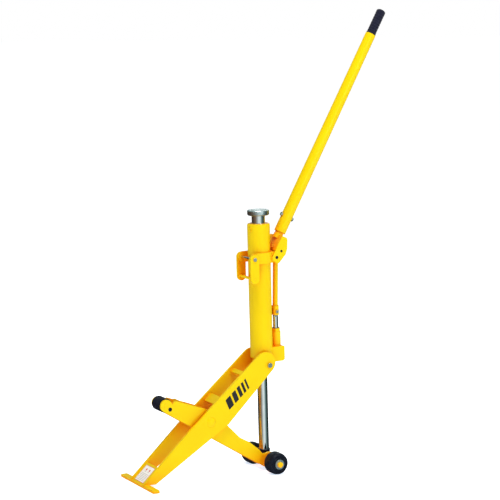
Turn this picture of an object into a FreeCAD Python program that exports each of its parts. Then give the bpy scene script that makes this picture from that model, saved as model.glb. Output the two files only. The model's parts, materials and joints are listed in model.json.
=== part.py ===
import FreeCAD, Part
import math
import os

Vector = FreeCAD.Vector

# ---------------------------------------------------------------- frame
# Millimetres. +X runs from the foot to the wheels, +Y is the far side, +Z is up.
# The origin is on the foot's sole, at the floor, in the middle plane.

# ---------------------------------------------------------------- linkage
arm_reach = 310.0          # crossing pin to trunnion, and crossing pin to axle
pivot_x = 258.0            # crossing pin from the origin
pivot_z = 218.0            # crossing pin above the floor
wheel_radius = 41.0
ram_lean = 1.65            # the jack unit leans this many degrees towards the foot
base_slope = 41.5          # slope of the base arm's straight upper edge
closing_angle = 60.0       # from the modelled pose to the closed one

# ---------------------------------------------------------------- clearances
running_gap = 0.05         # radial, pins in bores
face_gap = 0.5             # between side faces that turn on each other
ram_gap = 0.3              # radial, ram and piston in their bores
end_gap = 10.0             # piston to cap when the arms are closed


# ---------------------------------------------------------------- base arm
plate = 10.0               # thickness of every arm plate
arm_gap = 6.4              # reservoir to the inner faces of the base arm's plates
base_rise = 40.4           # upper edge above the crossing pin
base_end_radius = 41.7     # round upper end of the base arm
trunnion_setback = 6.0     # trunnion beyond the centre of that round end
trunnion_sink = 17.0       # and below it
knee_along = 42.0          # knee in the lower edge
knee_drop = 60.0
foot_width = 290.0
foot_front = 20.0          # foot plate ahead of the origin, towards -X
foot_back = 8.0            # and behind it
heel_back = 32.0           # rear lower corner of the base arm's plates
foot_thickness = 10.0
gusset_thickness = 8.0
gusset_sink = 4.0          # gusset below the plates' upper edges
gusset_length = 86.0       # along the slope, from the foot's front edge
nose_height = 2.0          # front corner of plates and gusset above the foot plate
bend_along = -74.0         # the upper edges turn down a little more, this far from the pin
brace_thickness = 9.0
lower_brace_at = 58.0      # from the crossing pin, along the arm
lower_brace_length = 38.0
upper_brace_at = 208.0
upper_brace_length = 18.0
brace_sink = 12.0          # braces below the plates' upper edges

# ---------------------------------------------------------------- lift arm
lift_inner = 31.0          # half the gap between the lift arm's plates
toe_reach = 185.0          # toe roller from the crossing pin, along the arm
toe_drop = 38.4
toe_end_radius = 23.0
lift_end_radius = 31.0     # round end about the axle
toe_plug_radius = 7.5
toe_plug_back = 20.0       # behind the toe axle
toe_plug_drop = 3.0        # and below it
toe_axle_radius = 9.0
toe_roller_radius = 26.5

# ---------------------------------------------------------------- pins and wheels
crossing_radius = 15.0
crossing_head_radius = 18.5
crossing_head_height = 7.0
bush_wall = 4.0
trunnion_radius = 9.0
trunnion_proud = 6.0       # trunnions beyond those rings
boss_radius = 20.0         # bosses of the casting and washers between it and the arm
ring_radius = 14.0         # rings welded on the outside of the base arm
ring_height = 2.0
axle_radius = 10.5
axle_proud = 12.0          # axle beyond the wheels
wheel_gap = 13.0           # base arm to wheel
wheel_width = 47.0
wheel_shoulder = 9.0
wheel_hub_radius = 20.0
washer_radius = 18.5
washer_thickness = 4.0

# ---------------------------------------------------------------- jack unit, h is height above the trunnions
casting_bottom = -32.0
casting_shoulder = 24.0
casting_top = 56.0
casting_core_radius = 34.0
block_behind_pump = 18.5   # rear face of the block behind the pump's axis
block_half = 33.0
block_top = 60.0
block_bottom = 4.0
block_chamfer = 6.0
reservoir_radius = 42.6
reservoir_wall = 4.0
reservoir_top = 530.0
reservoir_round = 7.0
cylinder_radius = 27.0     # outside of the pressure cylinder
ram_radius = 19.5
ram_piston_radius = 22.0
gland_height = 16.0
eye_radius = 26.0          # eye of the ram, on the axle
eye_neck = 28.0            # axle to the foot of the chromed rod
foot_ring_height = 8.5
piston_height = 34.0
neck_radius = 25.0
cap_depth = 22.0           # of the threaded cap inside the reservoir
saddle_bottom = 560.0
saddle_top = 580.0
saddle_radius = 41.0
saddle_screw_radius = 14.0
collar_bottom = 382.0
collar_top = 423.0
collar_wall = 7.0
collar_bolt_gap = 1.9      # clamp bolt to reservoir
ear_round_back = 5.0       # centre of the ears' round ends behind the clamp bolt
carry_bolt_radius = 4.5
carry_link_thickness = 8.0
carry_link_width = 36.0
carry_drop = 73.0          # lower bar below the clamp bolt
carry_bar_radius = 5.5
fulcrum_gap = 7.4          # reservoir to the fulcrum's axis
fulcrum_height = 401.0
fulcrum_radius = 6.0
lug_inner = 24.0
lug_inset = 2.4            # outer faces of the ears inside the reservoir's side
yoke_gap = 0.8             # ears to yoke
yoke_thickness = 5.0
filler_height = 509.0
filler_radius = 5.5
filler_turn = 13.0         # degrees towards the near side

# ---------------------------------------------------------------- pump
pump_radius = 18.0
pump_gap = 2.4             # reservoir to pump barrel
pump_top = 126.0
pump_gland_height = 12.0
plunger_radius = 10.0
plunger_bottom = 63.0
pump_floor = 32.0          # bottom of the plunger's bore
valve_well_floor = 10.0    # bottom of the valves' well
valve_well_radius = 5.5
lower_pin_height = 190.0
lower_pin_radius = 3.0
lower_pin_head_radius = 6.0
lower_pin_play = 3.0       # radial, in the plunger's tongue
tongue_half = 5.0
clevis_radius = 13.5
clevis_bottom = 176.0
clevis_top = 212.0
clevis_slot_half = 5.6
link_tube_radius = 10.0
link_eye_radius = 12.0
link_pin_back = 20.0       # behind the fulcrum
link_pin_height = 423.0
link_pin_radius = 5.0
neck_stud_radius = 16.0    # the stud where it shows below the handle tube

# ---------------------------------------------------------------- handle, measured along its own axis
handle_lean = 28.2         # from the vertical
handle_foot_back = 39.5    # lower end of the tube behind the fulcrum
handle_foot_height = 488.5
handle_length = 936.0
handle_low_radius = 22.3
handle_high_radius = 19.8
handle_wall = 3.0
grip_length = 103.0
grip_radius = 17.6
stud_length = 110.0
handle_bolt_up = 64.0
handle_bolt_radius = 4.0

# ---------------------------------------------------------------- release valve, on the far side of the block
valve_back = 3.0           # behind the pump's axis
valve_height = 20.0
valve_radius = 6.0
valve_reach = 47.0

# ---------------------------------------------------------------- places worked out from those sizes
axle_x = pivot_x + math.sqrt(arm_reach ** 2 - (pivot_z - wheel_radius) ** 2)
axle_z = wheel_radius
lean = math.radians(ram_lean)
to_pivot = (pivot_x - axle_x) * -math.sin(lean) + (pivot_z - axle_z) * math.cos(lean)
ram_span = 2 * to_pivot    # axle to trunnion
trunnion_x = axle_x - math.sin(lean) * ram_span
trunnion_z = axle_z + math.cos(lean) * ram_span
base_inner = reservoir_radius + arm_gap
base_outer = base_inner + plate
trunnion_end = base_outer + ring_height + trunnion_proud
wheel_inner = base_outer + wheel_gap
wheel_outer = wheel_inner + wheel_width
axle_half = wheel_outer + axle_proud
collar_bolt_ahead = reservoir_radius + carry_bolt_radius + collar_bolt_gap
pump_behind = reservoir_radius + pump_radius + pump_gap
block_reach = pump_behind + block_behind_pump
valve_behind = pump_behind + valve_back
fulcrum_behind = reservoir_radius + fulcrum_gap
link_pin_behind = fulcrum_behind + link_pin_back
handle_foot_behind = fulcrum_behind + handle_foot_back
lug_outer = reservoir_radius - lug_inset
yoke_inner = lug_outer + yoke_gap
yoke_outer = yoke_inner + yoke_thickness
lift_outer = lift_inner + plate
slope = math.radians(base_slope)
lift_slope = math.atan2(axle_z - pivot_z, axle_x - pivot_x)
collar_radius = reservoir_radius + collar_wall
collar_bolt_height = (collar_bottom + collar_top) / 2
carry_outer = collar_radius + face_gap + carry_link_thickness


# ---------------------------------------------------------------- helpers
def block(x0, x1, y0, y1, z0, z1):
    """Box between two corners."""
    return Part.makeBox(x1 - x0, y1 - y0, z1 - z0, Vector(x0, y0, z0))


def rod(radius, start, end):
    """Cylinder from one point to another."""
    axis = Vector(*end) - Vector(*start)
    return Part.makeCylinder(radius, axis.Length, Vector(*start), axis)


def cross_rod(radius, x, z, y0, y1):
    """Cylinder along Y."""
    return rod(radius, (x, y0, z), (x, y1, z))


def tube(outer, inner, start, end):
    """Hollow cylinder."""
    return rod(outer, start, end).cut(rod(inner, start, end))


def cross_tube(outer, inner, x, z, y0, y1):
    """Hollow cylinder along Y."""
    return cross_rod(outer, x, z, y0, y1).cut(cross_rod(inner, x, z, y0, y1))


def revolve(points):
    """Solid of revolution from (radius, height) points about the Z axis."""
    wire = Part.makePolygon([Vector(r, 0, h) for r, h in points + points[:1]])
    return Part.Face(wire).revolve(Vector(0, 0, 0), Vector(0, 0, 1), 360)


def slab(points, y0, y1):
    """Plate with a straight-edged outline in XZ, from y0 to y1."""
    wire = Part.makePolygon([Vector(x, y0, z) for x, z in points + points[:1]])
    return Part.Face(wire).extrude(Vector(0, y1 - y0, 0))


def mirror(shape):
    """The same piece on the other side of the middle plane."""
    return shape.mirror(Vector(0, 0, 0), Vector(0, 1, 0))


def pair(shape):
    """A piece and its mirror image as two separate solids."""
    return Part.makeCompound([shape, mirror(shape)])


def bolt_head(radius, height, start, direction):
    """Hexagonal head that stands on a point."""
    axis = Vector(*direction)
    axis.normalize()
    corners = [Vector(radius * math.cos(math.radians(a)), radius * math.sin(math.radians(a)), 0)
               for a in range(0, 361, 60)]
    head = Part.Face(Part.makePolygon(corners)).extrude(Vector(0, 0, height))
    head.Placement = FreeCAD.Placement(Vector(*start), FreeCAD.Rotation(Vector(0, 0, 1), axis))
    return head


def on_base(along, rise):
    """Point of the base arm's own axes, in XZ."""
    x = pivot_x + along * math.cos(slope) - rise * math.sin(slope)
    z = pivot_z + along * math.sin(slope) + rise * math.cos(slope)
    return x, z


def on_lift(along, rise):
    """Point of the lift arm's own axes, in XZ. The axle lies at along = arm_reach."""
    x = pivot_x + along * math.cos(lift_slope) - rise * math.sin(lift_slope)
    z = pivot_z + along * math.sin(lift_slope) + rise * math.cos(lift_slope)
    return x, z


def on_unit(shape):
    """Move a shape from the jack unit's frame to its place on the trunnions."""
    moved = shape.copy()
    turn = FreeCAD.Rotation(Vector(0, 1, 0), -ram_lean)
    moved.Placement = FreeCAD.Placement(Vector(trunnion_x, 0, trunnion_z), turn).multiply(moved.Placement)
    return moved


def on_handle(shape):
    """Move a shape from the handle's frame to its place on the lever's stud."""
    moved = shape.copy()
    x = trunnion_x + handle_foot_behind * math.cos(lean) - handle_foot_height * math.sin(lean)
    z = trunnion_z + handle_foot_behind * math.sin(lean) + handle_foot_height * math.cos(lean)
    turn = FreeCAD.Rotation(Vector(0, 1, 0), handle_lean)
    moved.Placement = FreeCAD.Placement(Vector(x, 0, z), turn).multiply(moved.Placement)
    return moved


# ---------------------------------------------------------------- base arm pieces
def nose_slope():
    """Slope of the upper edges between the foot and the bend, in radians."""
    bend_x, bend_z = on_base(bend_along, base_rise)
    return math.atan2(bend_z - foot_thickness - nose_height, bend_x + foot_front - 1)


def base_outline(y0, y1):
    """One side plate of the base arm, before its holes."""
    trunnion_along = ((trunnion_x - pivot_x) * math.cos(slope) + (trunnion_z - pivot_z) * math.sin(slope))
    end_along = trunnion_along - trunnion_setback
    trunnion_rise = (trunnion_z - pivot_z) * math.cos(slope) - (trunnion_x - pivot_x) * math.sin(slope)
    end_rise = trunnion_rise + trunnion_sink
    front = -foot_front + 1
    body = slab([(front, foot_thickness),
                 (front, foot_thickness + nose_height),
                 on_base(bend_along, base_rise),
                 on_base(end_along, end_rise + base_end_radius),
                 on_base(end_along, end_rise - base_end_radius),
                 on_base(knee_along, -knee_drop),
                 (heel_back, foot_thickness)], y0, y1)
    x, z = on_base(end_along, end_rise)
    return body.fuse(cross_rod(base_end_radius, x, z, y0, y1)).removeSplitter()


def base_arm_plate():
    """Far side plate, bored for the crossing pin and the trunnion."""
    side = base_outline(base_inner, base_outer)
    side = side.cut(cross_rod(crossing_radius, pivot_x, pivot_z, base_inner, base_outer))
    bore = trunnion_radius + running_gap
    return side.cut(cross_rod(bore, trunnion_x, trunnion_z, base_inner, base_outer))


def trunnion_bosses():
    """Raised rings welded round the trunnion bores."""
    bore = trunnion_radius + running_gap
    return pair(cross_tube(ring_radius, bore, trunnion_x, trunnion_z, base_outer, base_outer + ring_height))


def foot_plate():
    """Wide plate that the base arm stands on, with rounded corners."""
    half = foot_width / 2
    sole = block(-foot_front, foot_back, -half, half, 0, foot_thickness)
    upright = [e for e in sole.Edges if abs(e.tangentAt(e.FirstParameter).z) > 0.9]
    return sole.makeFillet(min(7.0, (foot_front + foot_back) / 4), upright)


def gusset_plate():
    """Sloping plate that closes the foot end of the base arm."""
    front = -foot_front + 1
    tilt = nose_slope()
    base_z = foot_thickness + nose_height

    def on_nose(along, sink):
        x = front + along * math.cos(tilt) + sink * math.sin(tilt)
        return x, base_z + along * math.sin(tilt) - sink * math.cos(tilt)

    top = gusset_sink
    under = gusset_sink + gusset_thickness
    outline = [(front, foot_thickness), on_nose(top, top), on_nose(gusset_length, top),
               on_nose(gusset_length, under), on_nose(under + 4, under), (front + under + 2, foot_thickness)]
    return slab(outline, -base_inner, base_inner)


def brace(start, length):
    """Cross plate between the base arm's plates, with a turned-down lower edge."""
    rise = base_rise - brace_sink
    lip = brace_thickness + 5
    outline = [on_base(start, rise), on_base(start + length, rise),
               on_base(start + length, rise - brace_thickness), on_base(start + 2, rise - brace_thickness)]
    flat = slab(outline, -base_inner, base_inner)
    edge = slab([on_base(start, rise), on_base(start + 6, rise),
                 on_base(start + 6, rise - lip + 5), on_base(start, rise - lip + 5)], -base_inner, base_inner)
    return flat.fuse(edge).removeSplitter()


def base_arm_braces():
    """The two braces."""
    return Part.makeCompound([brace(lower_brace_at, lower_brace_length),
                              brace(upper_brace_at, upper_brace_length)])


def crossing_pin():
    """Pin through all four plates, with a domed head at each end."""
    shank = cross_rod(crossing_radius, pivot_x, pivot_z, -base_outer, base_outer)
    rise = crossing_head_height
    ball_radius = (crossing_head_radius ** 2 + rise ** 2) / (2 * rise)
    ball = Part.makeSphere(ball_radius, Vector(pivot_x, base_outer + rise - ball_radius, pivot_z))
    head = ball.common(cross_rod(crossing_head_radius, pivot_x, pivot_z, base_outer, base_outer + rise + 1))
    return shank.fuse([head, mirror(head)]).removeSplitter()


def crossing_spacers():
    """Rings that keep the lift arm central between the base arm's plates."""
    ring = cross_tube(crossing_radius + 9, crossing_radius, pivot_x, pivot_z,
                      lift_outer + face_gap, base_inner)
    return pair(ring)


# ---------------------------------------------------------------- lift arm pieces
def lift_arm_plate():
    """Far side plate: a notch behind the toe and a saddle for the ram's foot."""
    toe = toe_reach
    far = arm_reach
    top = -toe_drop + toe_end_radius
    outline = [on_lift(-toe, -toe_drop - toe_end_radius), on_lift(-toe, top),
               on_lift(-toe + 3, top), on_lift(-toe + 16, -24), on_lift(-toe + 22, -5),
               on_lift(-84, 18), on_lift(-5, 39), on_lift(87, 22), on_lift(far - 160, 11),
               on_lift(far - 114, 16), on_lift(far - 60, 12), on_lift(far - 40, 6),
               on_lift(far - 22, 16), on_lift(far, 20), on_lift(far, -lift_end_radius),
               on_lift(far - 2, -lift_end_radius)]
    side = slab(outline, lift_inner, lift_outer)
    toe_x, toe_z = on_lift(-toe, -toe_drop)
    side = side.fuse([cross_rod(toe_end_radius, toe_x, toe_z, lift_inner, lift_outer),
                      cross_rod(lift_end_radius, axle_x, axle_z, lift_inner, lift_outer)]).removeSplitter()
    side = side.cut(cross_rod(crossing_radius + bush_wall, pivot_x, pivot_z, lift_inner, lift_outer))
    side = side.cut(cross_rod(axle_radius, axle_x, axle_z, lift_inner, lift_outer))
    side = side.cut(cross_rod(toe_axle_radius, toe_x, toe_z, lift_inner, lift_outer))
    plug_x, plug_z = on_lift(-toe + toe_plug_back, -toe_drop - toe_plug_drop)
    return side.cut(cross_rod(toe_plug_radius, plug_x, plug_z, lift_inner, lift_outer))


def crossing_bushes():
    """Bearing bushes pressed into the lift arm."""
    bush = cross_tube(crossing_radius + bush_wall, crossing_radius + running_gap, pivot_x, pivot_z,
                      lift_inner, lift_outer)
    return pair(bush)


def toe_web():
    """Plate welded between the lift arm's sides, behind the toe."""
    start = -toe_reach + 46
    outline = [on_lift(start, -54), on_lift(start + 8, -54), on_lift(start + 8, 8), on_lift(start, 6)]
    return slab(outline, -lift_inner, lift_inner)


def rear_web():
    """Plate welded between the lift arm's sides, ahead of the wheels."""
    start = arm_reach - 118
    outline = [on_lift(start, -34), on_lift(start + 36, -32), on_lift(start + 36, -24), on_lift(start, -26)]
    return slab(outline, -lift_inner, lift_inner)


def lift_arm_webs():
    """The two webs."""
    return Part.makeCompound([toe_web(), rear_web()])


def toe_plugs():
    """Plugs pressed into the plates beside the toe roller, flush with both faces."""
    x, z = on_lift(-toe_reach + toe_plug_back, -toe_drop - toe_plug_drop)
    return pair(cross_rod(toe_plug_radius, x, z, lift_inner, lift_outer))


def toe_axle():
    """Axle of the toe roller, flush with the plates."""
    x, z = on_lift(-toe_reach, -toe_drop)
    return cross_rod(toe_axle_radius, x, z, -lift_outer, lift_outer)


def toe_roller():
    """Roller that the load bears on."""
    x, z = on_lift(-toe_reach, -toe_drop)
    half = lift_inner - face_gap
    bore = toe_axle_radius + running_gap
    roller = cross_rod(toe_roller_radius, x, z, -half, half)
    rims = [e for e in roller.Edges if e.Closed]
    roller = roller.makeChamfer(1.2, rims)
    return roller.cut(cross_rod(bore, x, z, -half, half))


def wheel_axle():
    """Axle through the wheels, the lift arm and the ram's eye."""
    axle = cross_rod(axle_radius, axle_x, axle_z, -axle_half, axle_half)
    ends = [e for e in axle.Edges if e.Closed]
    return axle.makeChamfer(1.5, ends)


def axle_spacers():
    """Tubes that hold the wheels away from the lift arm."""
    return pair(cross_tube(axle_radius + 6, axle_radius, axle_x, axle_z, lift_outer, wheel_inner - face_gap))


def wheel_tyre():
    """Solid tyre of the far wheel, bored for its bush."""
    r = wheel_radius
    s = wheel_shoulder
    bore = axle_radius + bush_wall
    profile = [(bore, wheel_inner), (r - 3, wheel_inner), (r, wheel_inner + 3), (r, wheel_outer - 2 * s),
               (r - 1.2, wheel_outer - s), (r - 4, wheel_outer - s / 3), (r - 8, wheel_outer),
               (wheel_hub_radius + 6, wheel_outer), (wheel_hub_radius + 4, wheel_outer - 3),
               (wheel_hub_radius, wheel_outer - 3), (wheel_hub_radius - 1, wheel_outer), (bore, wheel_outer)]
    turned = revolve(profile)
    turned.Placement = FreeCAD.Placement(Vector(axle_x, 0, axle_z), FreeCAD.Rotation(Vector(1, 0, 0), -90))
    return turned


def wheel_bush():
    """Bearing bush of the far wheel."""
    return cross_tube(axle_radius + bush_wall, axle_radius + running_gap, axle_x, axle_z,
                      wheel_inner, wheel_outer)


def wheel_washers():
    """Washers that keep the wheels on the axle."""
    face = wheel_outer + face_gap
    ring = cross_tube(washer_radius, axle_radius, axle_x, axle_z, face, face + washer_thickness)
    return pair(ring)


# ---------------------------------------------------------------- ram, in the jack unit's frame
def ram_top():
    """Top of the piston while the arms stand as modelled."""
    return ram_length() - ram_span


def ram_length():
    """Axle to the top of the piston: the piston nears the cap when the arms are closed."""
    closed_span = 2 * arm_reach * math.sin(half_angle() - math.radians(closing_angle / 2))
    return reservoir_top - cap_depth - end_gap + closed_span


def half_angle():
    """Half the angle between the two arms."""
    return math.asin(ram_span / 2 / arm_reach)


def ram_rod():
    """Chromed rod from the eye to the piston."""
    return rod(ram_radius, (0, 0, -ram_span + eye_neck), (0, 0, ram_top() - piston_height))


def ram_eye():
    """Eye that turns on the axle, with a neck that takes the rod."""
    half = lift_inner - face_gap
    eye = cross_rod(eye_radius, 0, -ram_span, -half, half)
    neck = rod(ram_radius + 2, (0, 0, -ram_span), (0, 0, -ram_span + eye_neck))
    eye = eye.fuse(neck).removeSplitter()
    return eye.cut(cross_rod(axle_radius + running_gap, 0, -ram_span, -half, half))


def ram_foot_ring():
    """Locking ring round the foot of the rod."""
    low = -ram_span + eye_neck
    return tube(ram_radius + 3.5, ram_radius, (0, 0, low), (0, 0, low + foot_ring_height))


def ram_piston():
    """Piston with a groove for its seal, screwed on the rod."""
    top = ram_top()
    r = ram_piston_radius
    body = rod(r, (0, 0, top - piston_height), (0, 0, top))
    return body.cut(tube(r + 1, r - 4, (0, 0, top - 20), (0, 0, top - 12)))


def piston_seal():
    """Seal in the piston's groove."""
    top = ram_top()
    r = ram_piston_radius
    return tube(r, r - 4, (0, 0, top - 20), (0, 0, top - 12))


# ---------------------------------------------------------------- jack unit, in its own frame
def base_casting():
    """Cast base: barrel seat, core on the trunnions and pump block, bored for the ram."""
    barrel = rod(reservoir_radius, (0, 0, casting_shoulder), (0, 0, casting_top))
    core = rod(casting_core_radius, (0, 0, casting_bottom), (0, 0, casting_shoulder))
    side = cross_rod(boss_radius, 0, 0, -base_inner + 3, base_inner - 3)
    c = block_chamfer
    rear = slab([(0, block_top), (block_reach - 2, block_top), (block_reach, block_top - 2),
                 (block_reach, block_bottom + c), (block_reach - c, block_bottom), (0, block_bottom)],
                -block_half, block_half)
    body = barrel.fuse([core, side, rear]).removeSplitter()
    well = rod(reservoir_radius + 0.01, (0, 0, casting_top), (0, 0, block_top + 1))
    body = body.cut(well)
    body = body.cut(rod(ram_radius + ram_gap, (0, 0, casting_bottom), (0, 0, casting_top)))
    body = body.cut(rod(cylinder_radius - 1, (0, 0, casting_bottom), (0, 0, casting_bottom + gland_height)))
    body = body.cut(rod(pump_radius, (pump_behind, 0, casting_top), (pump_behind, 0, block_top + 1)))
    body = body.cut(rod(plunger_radius + ram_gap, (pump_behind, 0, pump_floor), (pump_behind, 0, block_top)))
    body = body.cut(rod(valve_well_radius, (pump_behind, 0, valve_well_floor), (pump_behind, 0, pump_floor)))
    body = body.cut(cross_rod(trunnion_radius, 0, 0, cylinder_radius + 1, base_inner))
    body = body.cut(cross_rod(trunnion_radius, 0, 0, -base_inner, -cylinder_radius - 1))
    bore = valve_radius + running_gap
    return body.cut(cross_rod(bore, valve_behind, valve_height, 4, block_half + 1))


def trunnion_pins():
    """Stub pins screwed into the casting, one each side."""
    return pair(cross_rod(trunnion_radius, 0, 0, cylinder_radius + 1, trunnion_end))


def trunnion_washers():
    """Thrust washers between the casting and the base arm."""
    return pair(cross_tube(boss_radius - 3, trunnion_radius, 0, 0, base_inner - 3, base_inner - face_gap))


def ram_gland():
    """Gland nut that guides the ram at the bottom of the casting."""
    low = casting_bottom
    return tube(cylinder_radius - 1, ram_radius + ram_gap, (0, 0, low + 5), (0, 0, low + gland_height))


def unit_seals():
    """Wiper ring under the ram's gland, and wiper in the mouth of the pump's gland."""
    low = casting_bottom
    x = pump_behind
    ram_wiper = tube(cylinder_radius - 1, ram_radius + ram_gap, (0, 0, low), (0, 0, low + 5))
    pump_wiper = tube(plunger_radius + 3, plunger_radius + running_gap,
                      (x, 0, pump_top - 5), (x, 0, pump_top + 1.5))
    return Part.makeCompound([ram_wiper, pump_wiper])


def pressure_cylinder():
    """Inner cylinder that the piston runs in."""
    top = reservoir_top - cap_depth
    return tube(cylinder_radius, ram_piston_radius + ram_gap, (0, 0, casting_top), (0, 0, top))


def reservoir_tube():
    """Outer tube that holds the oil, with a rounded shoulder and a filler hole."""
    r = reservoir_radius
    skin = rod(r, (0, 0, casting_top), (0, 0, reservoir_top))
    upper = [e for e in skin.Edges if e.Closed and e.BoundBox.ZMin > reservoir_top - 1]
    skin = skin.makeFillet(reservoir_round, upper)
    skin = skin.cut(rod(r - reservoir_wall, (0, 0, casting_top), (0, 0, reservoir_top - cap_depth)))
    skin = skin.cut(rod(neck_radius, (0, 0, reservoir_top - cap_depth), (0, 0, reservoir_top)))
    hole = rod(filler_radius, (-r - 2, 0, filler_height), (-r + 8, 0, filler_height))
    return skin.cut(hole.rotate(Vector(0, 0, 0), Vector(0, 0, 1), filler_turn))


def cylinder_cap():
    """Threaded cap with the neck that carries the saddle's screw."""
    low = reservoir_top - cap_depth
    cap = rod(neck_radius, (0, 0, low), (0, 0, saddle_bottom - face_gap))
    screw_bore = saddle_screw_radius + running_gap
    return cap.cut(rod(screw_bore, (0, 0, low + 6), (0, 0, saddle_bottom)))


def saddle():
    """Round head on a screw, turned by hand."""
    r = saddle_radius
    profile = [(0, reservoir_top - 15), (saddle_screw_radius, reservoir_top - 15),
               (saddle_screw_radius, saddle_bottom), (r - 4, saddle_bottom), (r, saddle_bottom + 5),
               (r, saddle_top - 3), (r - 3, saddle_top), (r - 12, saddle_top), (r - 13, saddle_top - 1.5),
               (0, saddle_top - 1.5)]
    return revolve(profile)


def filler_plug():
    """Oil plug with a round flange, on the front of the reservoir."""
    r = reservoir_radius
    shank = rod(filler_radius, (-r - 1, 0, filler_height), (-r + reservoir_wall, 0, filler_height))
    flange = rod(filler_radius + 2.5, (-r - 2, 0, filler_height), (-r - 0.1, 0, filler_height))
    slot = block(-r - 3, -r - 1, -filler_radius, filler_radius, filler_height - 0.8, filler_height + 0.8)
    plug = shank.fuse(flange).removeSplitter().cut(slot)
    return plug.rotate(Vector(0, 0, 0), Vector(0, 0, 1), filler_turn)


def collar():
    """U-shaped clamp round the reservoir, open in front, with flat ears."""
    bolt_bore = carry_bolt_radius + running_gap
    ring = tube(collar_radius, reservoir_radius, (0, 0, collar_bottom), (0, 0, collar_top))
    front = block(-collar_radius - 1, -2, -reservoir_radius, reservoir_radius, collar_bottom, collar_top)
    ear_end = -collar_bolt_ahead + ear_round_back
    ear = block(ear_end, 0, reservoir_radius, collar_radius, collar_bottom, collar_top)
    mid = collar_bolt_height
    tip = cross_rod((collar_top - collar_bottom) / 2, ear_end, mid,
                    reservoir_radius, collar_radius)
    ears = [ear, mirror(ear), tip, mirror(tip)]
    wrap = ring.cut(front).fuse(ears + fulcrum_lugs()).removeSplitter()
    return wrap.cut(cross_rod(bolt_bore, -collar_bolt_ahead, mid, -collar_radius - 1, collar_radius + 1))


def fulcrum_lugs():
    """Two ears behind the collar that carry the pump lever, as a list."""
    low = collar_bottom
    ear = slab([(30, low), (fulcrum_behind + 8, low), (fulcrum_behind + 12, low + 8),
                (fulcrum_behind + 12, collar_top - 12), (fulcrum_behind, collar_top), (30, collar_top)],
               lug_inner, lug_outer)
    ear = ear.cut(rod(reservoir_radius + 1, (0, 0, low - 1), (0, 0, collar_top + 1)))
    ear = ear.cut(cross_rod(fulcrum_radius, fulcrum_behind, fulcrum_height, lug_inner, lug_outer))
    return [ear, mirror(ear)]


def fulcrum_pins():
    """Stub pins that the lever turns on."""
    return pair(cross_rod(fulcrum_radius, fulcrum_behind, fulcrum_height, lug_inner, yoke_outer + 0.6))


def carry_bolt():
    """Bolt through the collar's ears and the carrying links."""
    mid = collar_bolt_height
    end = carry_outer + face_gap
    shank = cross_rod(carry_bolt_radius, -collar_bolt_ahead, mid, -end, end + 9)
    head = cross_rod(carry_bolt_radius + 2.5, -collar_bolt_ahead, mid, -end - 3, -end)
    return shank.fuse(head).removeSplitter()


def carry_nut():
    """Nut on the far end of that bolt."""
    end = carry_outer + face_gap
    nut = bolt_head(8, 7, (-collar_bolt_ahead, end, collar_bolt_height), (0, 1, 0))
    return nut.cut(cross_rod(carry_bolt_radius, -collar_bolt_ahead, collar_bolt_height, end - 1, end + 8))


def carry_link():
    """Far link of the carrying handle: a flat bar with round ends."""
    mid = collar_bolt_height
    half = carry_link_width / 2
    inner = collar_radius + face_gap
    outer = inner + carry_link_thickness
    bar = block(-collar_bolt_ahead - half, -collar_bolt_ahead + half, inner, outer, mid - carry_drop, mid)
    ends = [cross_rod(half, -collar_bolt_ahead, mid, inner, outer),
            cross_rod(half, -collar_bolt_ahead, mid - carry_drop, inner, outer)]
    link = bar.fuse(ends).removeSplitter()
    bore = carry_bolt_radius + running_gap
    link = link.cut(cross_rod(bore, -collar_bolt_ahead, mid, inner - 1, outer + 1))
    bar_x = -collar_bolt_ahead - 3
    return link.cut(cross_rod(carry_bar_radius, bar_x, mid - carry_drop, inner - 1, outer + 1))


def carry_bar():
    """Round bar welded between the lower ends of the links."""
    mid = collar_bolt_height
    return cross_rod(carry_bar_radius, -collar_bolt_ahead - 3, mid - carry_drop, -carry_outer, carry_outer)


# ---------------------------------------------------------------- pump, in the jack unit's frame
def pump_cylinder():
    """Pump barrel screwed into the block."""
    x = pump_behind
    barrel = rod(pump_radius, (x, 0, casting_top), (x, 0, pump_top - pump_gland_height))
    return barrel.cut(rod(plunger_radius + ram_gap, (x, 0, casting_top), (x, 0, pump_top)))


def pump_gland():
    """Hexagonal gland nut on the pump barrel."""
    x = pump_behind
    nut = bolt_head(pump_radius, pump_gland_height, (x, 0, pump_top - pump_gland_height), (0, 0, 1))
    nut = nut.cut(rod(plunger_radius + 3, (x, 0, pump_top - 5), (x, 0, pump_top + 1)))
    return nut.cut(rod(plunger_radius + running_gap, (x, 0, casting_top), (x, 0, pump_top + 1)))


def check_valves():
    """Inlet ball, delivery ball and their spring, as a sleeve of its outer size, under the plunger."""
    x = pump_behind
    low = valve_well_floor
    spring = tube(4.5, 3.2, (x, 0, low + 16.8), (x, 0, low + 25.5))
    return Part.makeCompound([Part.makeSphere(3.5, Vector(x, 0, low + 3.5)),
                              Part.makeSphere(4.5, Vector(x, 0, low + 12)), spring])


def pump_plunger():
    """Plunger with a flat tongue that the link's pin passes through."""
    x = pump_behind
    stem = rod(plunger_radius, (x, 0, plunger_bottom), (x, 0, clevis_bottom - 6))
    tongue = block(x - 9, x + 9, -tongue_half, tongue_half, clevis_bottom - 10, lower_pin_height)
    tip = cross_rod(9, x, lower_pin_height, -tongue_half, tongue_half)
    body = stem.fuse([tongue, tip]).removeSplitter()
    return body.cut(cross_rod(lower_pin_radius + lower_pin_play, x, lower_pin_height, -20, 20))


def link_clevis():
    """Fork at the foot of the link."""
    x = pump_behind
    fork = rod(clevis_radius, (x, 0, clevis_bottom), (x, 0, clevis_top))
    slot_top = lower_pin_height + 13
    slot = block(x - 20, x + 20, -clevis_slot_half, clevis_slot_half, clevis_bottom - 1, slot_top)
    fork = fork.cut(slot)
    return fork.cut(cross_rod(lower_pin_radius, x, lower_pin_height, -20, 20))


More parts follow.
